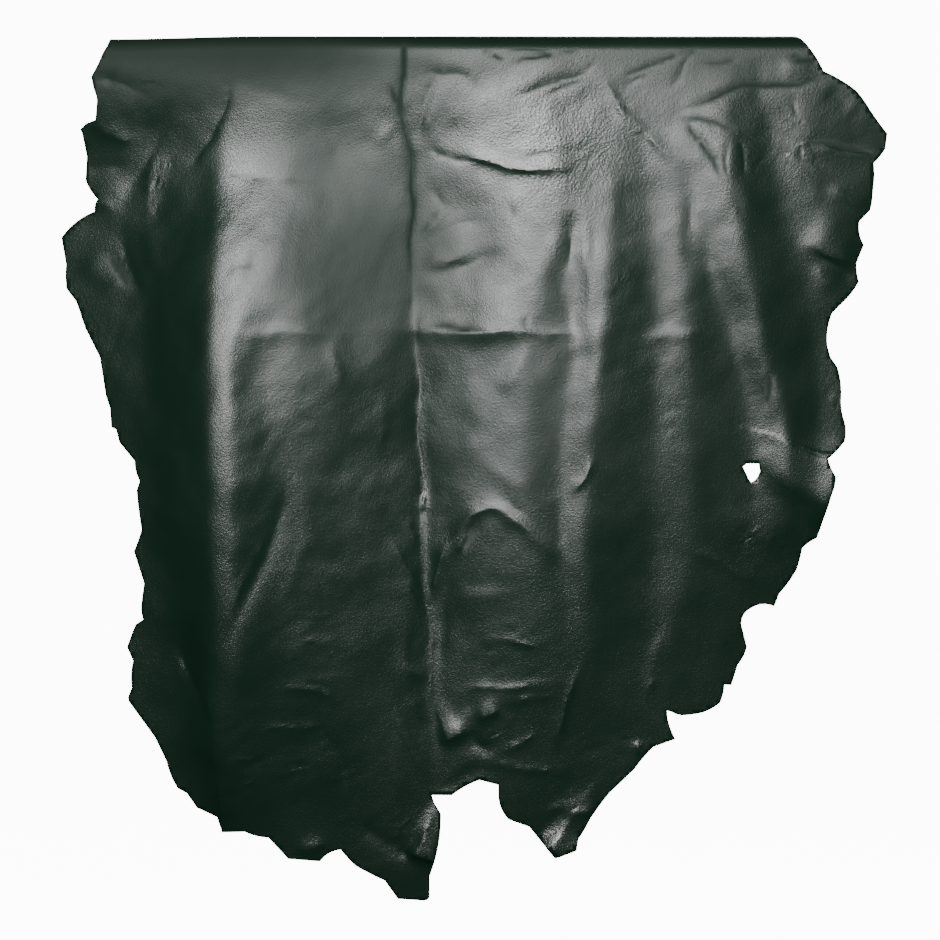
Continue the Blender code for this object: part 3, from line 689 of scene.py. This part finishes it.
def strayed(x, drop):
    """Places shifted a little, so that no line runs quite true."""
    strayed_x, strayed_drop = x.copy(), drop.copy()
    for length, shift in STRAYS:
        strayed_x += shift * uneven(x, drop, length, STRAY_X_SEED)
        strayed_drop += shift * uneven(x, drop, length, STRAY_DROP_SEED)
    return strayed_x, strayed_drop


def groove_share(x, drop):
    """How far down in a narrow groove a place on the front lies, from 0 to 1."""
    grooves = np.zeros(len(x))
    for _, path, left_width, right_width, height in CREASES:
        if height < 0 and max(left_width, right_width) < GROOVE_WIDTH:
            add_crease(grooves, *strayed(x, drop), path, left_width, right_width, height)
    return np.clip(grooves / -GROOVE_DEPTH, 0, 1) ** 2


def front_relief(x, drop):
    """How far the front stands forward of its plain face."""
    strayed_x, strayed_drop = strayed(x, drop)
    folds = fold_relief(strayed_x, strayed_drop)
    relief = np.zeros(len(x))
    for _, path, left_width, right_width, height in CREASES:
        add_crease(relief, strayed_x, strayed_drop, path, left_width, right_width, height)
    for seed, (_, *patch) in enumerate(WRINKLES, WRINKLE_SEED):
        add_wrinkles(relief, x, drop, seed, patch)
    slack = 1 - TAUT_SHARE * soft_step(np.hypot(x - SLACK_X, drop - SLACK_DROP), SLACK_INNER, SLACK_OUTER)
    for seed, (length, height) in enumerate(LUMPS, LUMP_SEED):
        relief += height * slack * uneven(x, drop, length, seed)
    return (folds + relief) * soft_step(drop, RELIEF_START, RELIEF_FULL)


def back_relief(x, drop):
    """Low even waves, which grow down the flap."""
    return BACK_WAVE * np.sin(x * math.tau / BACK_WAVE_LENGTH) * soft_step(drop, RAIL_RADIUS, BACK_LENGTH)


def hung(x, y):
    """Carries points of the flat sheet to where they hang."""
    turn = np.clip(-y / RAIL_RADIUS, -math.pi / 2, math.pi / 2)
    past = np.abs(y) - QUARTER_TURN
    drop = RAIL_RADIUS + np.maximum(past, 0)
    forward = np.where(y < 0, front_relief(x, drop), -back_relief(x, drop))
    depth = RAIL_RADIUS * np.sin(turn) + forward
    height = RAIL_RADIUS * (np.cos(turn) - 1) - np.maximum(past, 0)
    sag = SAG * soft_step(-x, -SAG_INNER_X, -SAG_OUTER_X) * (1 - soft_step(drop, RAIL_RADIUS, SAG_FADE))
    return np.stack([x, -depth, height - sag], axis=1) * MM


def add_rim(mesh, rows):
    """Adds one closed loop of edges to the flat sheet."""
    rim = [mesh.verts.new((x, y, 0)) for x, y in edge_run(rows)]
    for start, end in zip(rim, rim[1:] + rim[:1]):
        mesh.edges.new((start, end))


def flat_sheet():
    """The hide laid flat: the front below the rail's line, the flap above it."""
    mesh = bmesh.new()
    front = [(x, -bend_run(drop), bow) for x, drop, bow in FRONT_EDGE]
    back = [(x, bend_run(drop), bow) for x, drop, bow in BACK_EDGE]
    add_rim(mesh, front + back)
    add_rim(mesh, [(x, -bend_run(drop), bow) for x, drop, bow in HOLE])
    bmesh.ops.triangle_fill(mesh, use_beauty=True, use_dissolve=True, edges=mesh.edges[:])
    return mesh


def cut_across(mesh, place, direction):
    """Cuts every face of the flat sheet along one straight line."""
    everything = mesh.verts[:] + mesh.edges[:] + mesh.faces[:]
    bmesh.ops.bisect_plane(mesh, geom=everything, plane_co=place, plane_no=direction)


def cut_lattice(mesh):
    """Cuts the flat sheet into cells, whose rows are closer together round the bend."""
    xs = [corner.co.x for corner in mesh.verts]
    ys = [corner.co.y for corner in mesh.verts]
    bend_rows = np.linspace(-QUARTER_TURN, QUARTER_TURN, BEND_CELLS + 1)
    front_rows = np.arange(-QUARTER_TURN - CELL, min(ys), -CELL)
    back_rows = np.arange(QUARTER_TURN + CELL, max(ys), CELL)
    for x in np.arange(min(xs) + CELL, max(xs), CELL):
        cut_across(mesh, (x, 0, 0), (1, 0, 0))
    for y in (*bend_rows, *front_rows, *back_rows):
        cut_across(mesh, (0, y, 0), (0, 1, 0))
    bmesh.ops.remove_doubles(mesh, verts=mesh.verts[:], dist=MERGE)


def chord_error(x, drop, step_x, step_drop):
    """How far the relief strays from a straight line across the cells round these places."""
    parts = np.linspace(-0.5, 0.5, ERROR_READS)
    reads = [front_relief(x + part * step_x, drop + part * step_drop) for part in parts]
    lines = [reads[0] * (0.5 - part) + reads[-1] * (0.5 + part) for part in parts]
    return np.max(np.abs(np.array(reads) - np.array(lines)), axis=0)


def halve_rough_cells(mesh, size, allowed):
    """Halves the front's cells that are too coarse for the relief in them."""
    faces = [face for face in mesh.faces if face.calc_center_median().y < -QUARTER_TURN]
    faces = [face for face in faces if face.calc_area() > size * size / 2]
    centres = np.array([face.calc_center_median()[:2] for face in faces])
    x, drop = centres[:, 0], RAIL_RADIUS - QUARTER_TURN - centres[:, 1]
    error = np.maximum(chord_error(x, drop, size, 0), chord_error(x, drop, 0, size))
    rough = {edge for face, miss in zip(faces, error) if miss > allowed for edge in face.edges}
    mesh.edges.index_update()
    ordered = sorted(rough, key=lambda edge: edge.index)
    bmesh.ops.subdivide_edges(mesh, edges=ordered, cuts=1, use_grid_fill=True)


def hung_sheet():
    """Lays out the sheet, hangs it over the rail and marks its narrow grooves."""
    mesh = flat_sheet()
    cut_lattice(mesh)
    for size, allowed in HALVINGS:
        halve_rough_cells(mesh, size, allowed)
    bmesh.ops.triangulate(mesh, faces=mesh.faces[:], quad_method="BEAUTY", ngon_method="BEAUTY")
    bmesh.ops.reverse_faces(mesh, faces=[face for face in mesh.faces if face.normal.z < 0])
    flat = np.array([corner.co[:2] for corner in mesh.verts])
    places = hung(flat[:, 0], flat[:, 1])
    shares = groove_share(flat[:, 0], RAIL_RADIUS - QUARTER_TURN - flat[:, 1])
    groove = mesh.verts.layers.float.new("groove")
    for corner, place, share in zip(mesh.verts, places, shares):
        corner.co = place
        corner[groove] = share
    data = bpy.data.meshes.new("leather_hide")
    mesh.to_mesh(data)
    mesh.free()
    return data


class Value:
    """A number in a material, which can be added, taken away and scaled as in plain sums."""

    def __init__(self, shader, socket):
        self.shader, self.socket = shader, socket

    def math(self, operation, other):
        """Adds the node for one sum."""
        return self.shader.node("ShaderNodeMath", "Value", {"operation": operation}, {0: self, 1: other})

    def __add__(self, other):
        return self.math("ADD", other)

    def __sub__(self, other):
        return self.math("SUBTRACT", other)

    def __rsub__(self, other):
        return self * -1 + other

    def __mul__(self, other):
        return self.math("MULTIPLY", other)

    __radd__, __rmul__ = __add__, __mul__


class Shader:
    """One material's nodes."""

    def __init__(self, name):
        self.material = bpy.data.materials.new(name)
        self.material.use_nodes = True
        self.tree = self.material.node_tree
        self.surface = self.tree.nodes["Principled BSDF"]
        self.place = self.node("ShaderNodeTexCoord", "Object")

    def feed(self, slot, value):
        """Links a value to a socket, or sets a plain number, place or colour there."""
        if isinstance(value, Value):
            self.tree.links.new(value.socket, slot)
        else:
            slot.default_value = value

    def node(self, kind, output, settings=None, values=None):
        """Adds a node: its settings first, then its sockets' values, and gives one output."""
        node = self.tree.nodes.new(kind)
        for name, setting in (settings or {}).items():
            setattr(node, name, setting)
        for slot, value in (values or {}).items():
            self.feed(node.inputs[slot], value)
        return Value(self, node.outputs[output])

    def set(self, **values):
        """Feeds the surface's own sockets."""
        for name, value in values.items():
            self.feed(self.surface.inputs[name.replace("_", " ")], value)

    def noise(self, scale, detail):
        """Soft clouds from 0 to 1."""
        values = {"Vector": self.place, "Scale": scale, "Detail": detail}
        return self.node("ShaderNodeTexNoise", "Fac", values=values)

    def cells(self, scale):
        """Round cells, 0 in the middle of each."""
        values = {"Vector": self.place, "Scale": scale}
        return self.node("ShaderNodeTexVoronoi", "Distance", values=values)

    def soft_step(self, value, start, full):
        """Rises softly from 0 at the start to 1 where it is full."""
        values = {"Value": value, "From Min": start, "From Max": full}
        return self.node("ShaderNodeMapRange", "Result", {"interpolation_type": "SMOOTHSTEP"}, values)

    def ramp(self, axis, start, full):
        """Rises softly from 0 to 1 between two places on one axis."""
        place = self.node("ShaderNodeSeparateXYZ", axis, values={"Vector": self.place})
        return self.soft_step(place, start, full)

    def near(self, place, reach):
        """Falls softly from 1 at a place to 0 at this distance from it."""
        ends = {0: self.place, 1: place}
        away = self.node("ShaderNodeVectorMath", "Value", {"operation": "DISTANCE"}, ends)
        return self.soft_step(away, reach, 0)

    def mix(self, share, first, second):
        """Goes from the first colour to the second."""
        return self.node("ShaderNodeMix", 2, {"data_type": "RGBA"}, {0: share, 6: first, 7: second})

    def raise_grain(self, relief, strength, height):
        """Lets the light show a fine relief that isn't in the mesh."""
        values = {"Height": relief, "Strength": strength, "Distance": height}
        self.set(Normal=self.node("ShaderNodeBump", "Normal", values=values))


# the grain side: its greens, its gloss and its pebbles
DARK_GREEN = (0.005, 0.020, 0.011, 1)
LIGHT_GREEN = (0.009, 0.030, 0.018, 1)
CLOUD_SCALE = 3.5
GLOSS = 0.25  # roughness of the glossiest leather
GLOSS_CHANGE = 0.10
GLOSS_SCALE = 9
GROOVE_DULLNESS = 0.4
TOP_RUB = (-0.21, -0.03)  # heights between which the rub along the rail sets in
TOP_DULLNESS = 0.10
LEFT_RUB = (0.05, -0.4)  # the same across the hide, from right to left
LEFT_DULLNESS = 0.34
LOW_SHINE = (-0.9, -1.25)  # heights between which the lower end turns glossier
LOW_GLOSS = 0.055
RUBBED_SPOTS = (  # place, reach, dullness, which is below 0 where the leather shines more
    ((-0.2, -0.02, -0.50), 0.36, 0.25),
    ((-0.31, -0.02, -0.24), 0.17, 0.14),
    ((-0.45, -0.02, -0.42), 0.20, -0.05),
    ((0.18, -0.02, -0.24), 0.30, -0.11),
)
PEBBLE_SCALE = 150
PEBBLE_SHARE = 0.22  # of the pebbles, on plain leather
PEBBLED_SPOTS = (  # place, reach, share added
    ((0.29, -0.04, -0.25), 0.28, 0.45),
    ((0.72, -0.04, -0.2), 0.25, 0.2),
)
PORE_SCALE = 380
PORE_SHARE = 0.8
GRAIN_STRENGTH = 0.6
GRAIN_HEIGHT = 0.0009

# the flesh side, with its nap
DARK_NAP = (0.030, 0.050, 0.036, 1)
LIGHT_NAP = (0.060, 0.082, 0.062, 1)
NAP_SCALE = 180
NAP_ROUGHNESS = 0.9
NAP_STRENGTH = 0.5
NAP_HEIGHT = 0.0008

# the cut edge, with its fibres
DARK_FIBRE = (0.030, 0.020, 0.014, 1)
LIGHT_FIBRE = (0.085, 0.048, 0.030, 1)
FIBRE_SCALE = 300
FIBRE_ROUGHNESS = 0.8


def grain_leather():
    """The finished grain side: bottle green, semi-gloss and finely pebbled."""
    leather = Shader("green grain leather")
    clouds = leather.noise(CLOUD_SCALE, detail=4)
    leather.set(Base_Color=leather.mix(clouds, DARK_GREEN, LIGHT_GREEN))
    rubbed = leather.ramp("Z", *TOP_RUB) * (TOP_DULLNESS + leather.ramp("X", *LEFT_RUB) * LEFT_DULLNESS)
    for place, reach, dullness in RUBBED_SPOTS:
        rubbed = rubbed + leather.near(place, reach) * dullness
    rubbed = rubbed - leather.ramp("Z", *LOW_SHINE) * LOW_GLOSS
    groove = leather.node("ShaderNodeAttribute", "Fac", {"attribute_name": "groove"})
    gloss = GLOSS + leather.noise(GLOSS_SCALE, detail=3) * GLOSS_CHANGE
    leather.set(Roughness=gloss + rubbed + groove * GROOVE_DULLNESS)
    share = PEBBLE_SHARE
    for place, reach, added in PEBBLED_SPOTS:
        share = share + leather.near(place, reach) * added
    pores = leather.noise(PORE_SCALE, detail=2)
    pebbles = leather.cells(PEBBLE_SCALE) * share + pores * PORE_SHARE
    leather.raise_grain(pebbles, GRAIN_STRENGTH, GRAIN_HEIGHT)
    return leather.material


def flesh_leather():
    """The flesh side: dyed through, dull and napped."""
    flesh = Shader("flesh side")
    nap = flesh.noise(NAP_SCALE, detail=5)
    flesh.set(Base_Color=flesh.mix(nap, DARK_NAP, LIGHT_NAP), Roughness=NAP_ROUGHNESS)
    flesh.raise_grain(nap, NAP_STRENGTH, NAP_HEIGHT)
    return flesh.material


def raw_edge():
    """The cut edge, where the undyed core shows brown."""
    edge = Shader("raw leather edge")
    fibres = edge.noise(FIBRE_SCALE, detail=4)
    edge.set(Base_Color=edge.mix(fibres, DARK_FIBRE, LIGHT_FIBRE), Roughness=FIBRE_ROUGHNESS)
    return edge.material


def make_hide():
    """Gives the hung sheet its thickness and its three materials: grain, flesh and edge."""
    data = hung_sheet()
    for material in (grain_leather(), flesh_leather(), raw_edge()):
        data.materials.append(material)
    data.shade_smooth()
    hide = bpy.data.objects.new("leather_hide", data)
    bpy.context.scene.collection.objects.link(hide)
    body = hide.modifiers.new("thickness", "SOLIDIFY")
    body.thickness = THICKNESS * MM
    body.offset = 0
    body.material_offset = 1
    body.material_offset_rim = 2
    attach(hide, "root")
    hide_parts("hide")


# the stage
WHITE = (1, 1, 1, 1)
STAGE_GLOW = 12
AIR_LIGHT = 0.03
FLOOR_DROP = 2.35
FLOOR_HALF = 40
FLOOR_GREY = (0.8, 0.8, 0.8, 1)
FLOOR_ROUGHNESS = 0.9
SENSOR = 36
FRONT_PLANE = -0.05
CAMERA_DISTANCE = 9.0  # from the front plane
VIEW_WIDTH = 2.149
VIEW_CENTRE = Vector((0.0414, 0, -0.9965))
SOFTBOXES = (  # name, place, target, width, height, power
    ("key", (-0.5, -4.0, 0.35), (0, 0, -0.6), 0.8, 1.4, 158),
    ("second light", (0.5, -4.0, 0.6), (0, 0, -0.25), 0.6, 0.8, 25),
    ("back light", (1.5, 4.0, 1.5), (0, 0, -0.6), 2.5, 2.0, 160),
)


def aimed(thing, place, target):
    """Puts a light or camera at a place, looking at a target."""
    thing.location = place
    thing.rotation_euler = (Vector(target) - Vector(place)).to_track_quat("-Z", "Y").to_euler()
    bpy.context.scene.collection.objects.link(thing)


def softbox(name, place, target, width, height, power):
    """One soft studio light."""
    light = bpy.data.lights.new(name, "AREA")
    light.shape = "RECTANGLE"
    light.size, light.size_y, light.energy = width, height, power
    thing = bpy.data.objects.new(name, light)
    aimed(thing, place, target)
    thing.visible_camera = False


def make_camera():
    """A long lens square on to the hide."""
    lens = bpy.data.cameras.new("camera")
    lens.sensor_width = SENSOR
    lens.lens = SENSOR * CAMERA_DISTANCE / VIEW_WIDTH
    camera = bpy.data.objects.new("camera", lens)
    aimed(camera, VIEW_CENTRE + Vector((0, FRONT_PLANE - CAMERA_DISTANCE, 0)), VIEW_CENTRE)
    bpy.context.scene.camera = camera


def make_floor():
    """A wide plain pale floor."""
    mesh = bmesh.new()
    bmesh.ops.create_grid(mesh, x_segments=1, y_segments=1, size=FLOOR_HALF)
    bmesh.ops.translate(mesh, verts=mesh.verts, vec=(0, 0, -FLOOR_DROP))
    data = bpy.data.meshes.new("floor")
    mesh.to_mesh(data)
    mesh.free()
    paint = Shader("pale floor")
    paint.set(Base_Color=FLOOR_GREY, Roughness=FLOOR_ROUGHNESS)
    paint.set(Emission_Color=WHITE, Emission_Strength=STAGE_GLOW)
    data.materials.append(paint.material)
    floor = bpy.data.objects.new("floor", data)
    bpy.context.scene.collection.objects.link(floor)
    floor.visible_glossy = False
    floor.visible_diffuse = False


def make_air():
    """White all round to the eye, but dim as a light."""
    world = bpy.data.worlds.new("studio")
    world.use_nodes = True
    bpy.context.scene.world = world
    nodes, links = world.node_tree.nodes, world.node_tree.links
    seen = nodes.new("ShaderNodeLightPath")
    strength = nodes.new("ShaderNodeMapRange")
    strength.inputs["To Min"].default_value = AIR_LIGHT
    strength.inputs["To Max"].default_value = STAGE_GLOW
    links.new(seen.outputs["Is Camera Ray"], strength.inputs["Value"])
    links.new(strength.outputs["Result"], nodes["Background"].inputs["Strength"])
    nodes["Background"].inputs["Color"].default_value = WHITE


make_camera()
make_floor()
make_air()
for row in SOFTBOXES:
    softbox(*row)
make_hide()
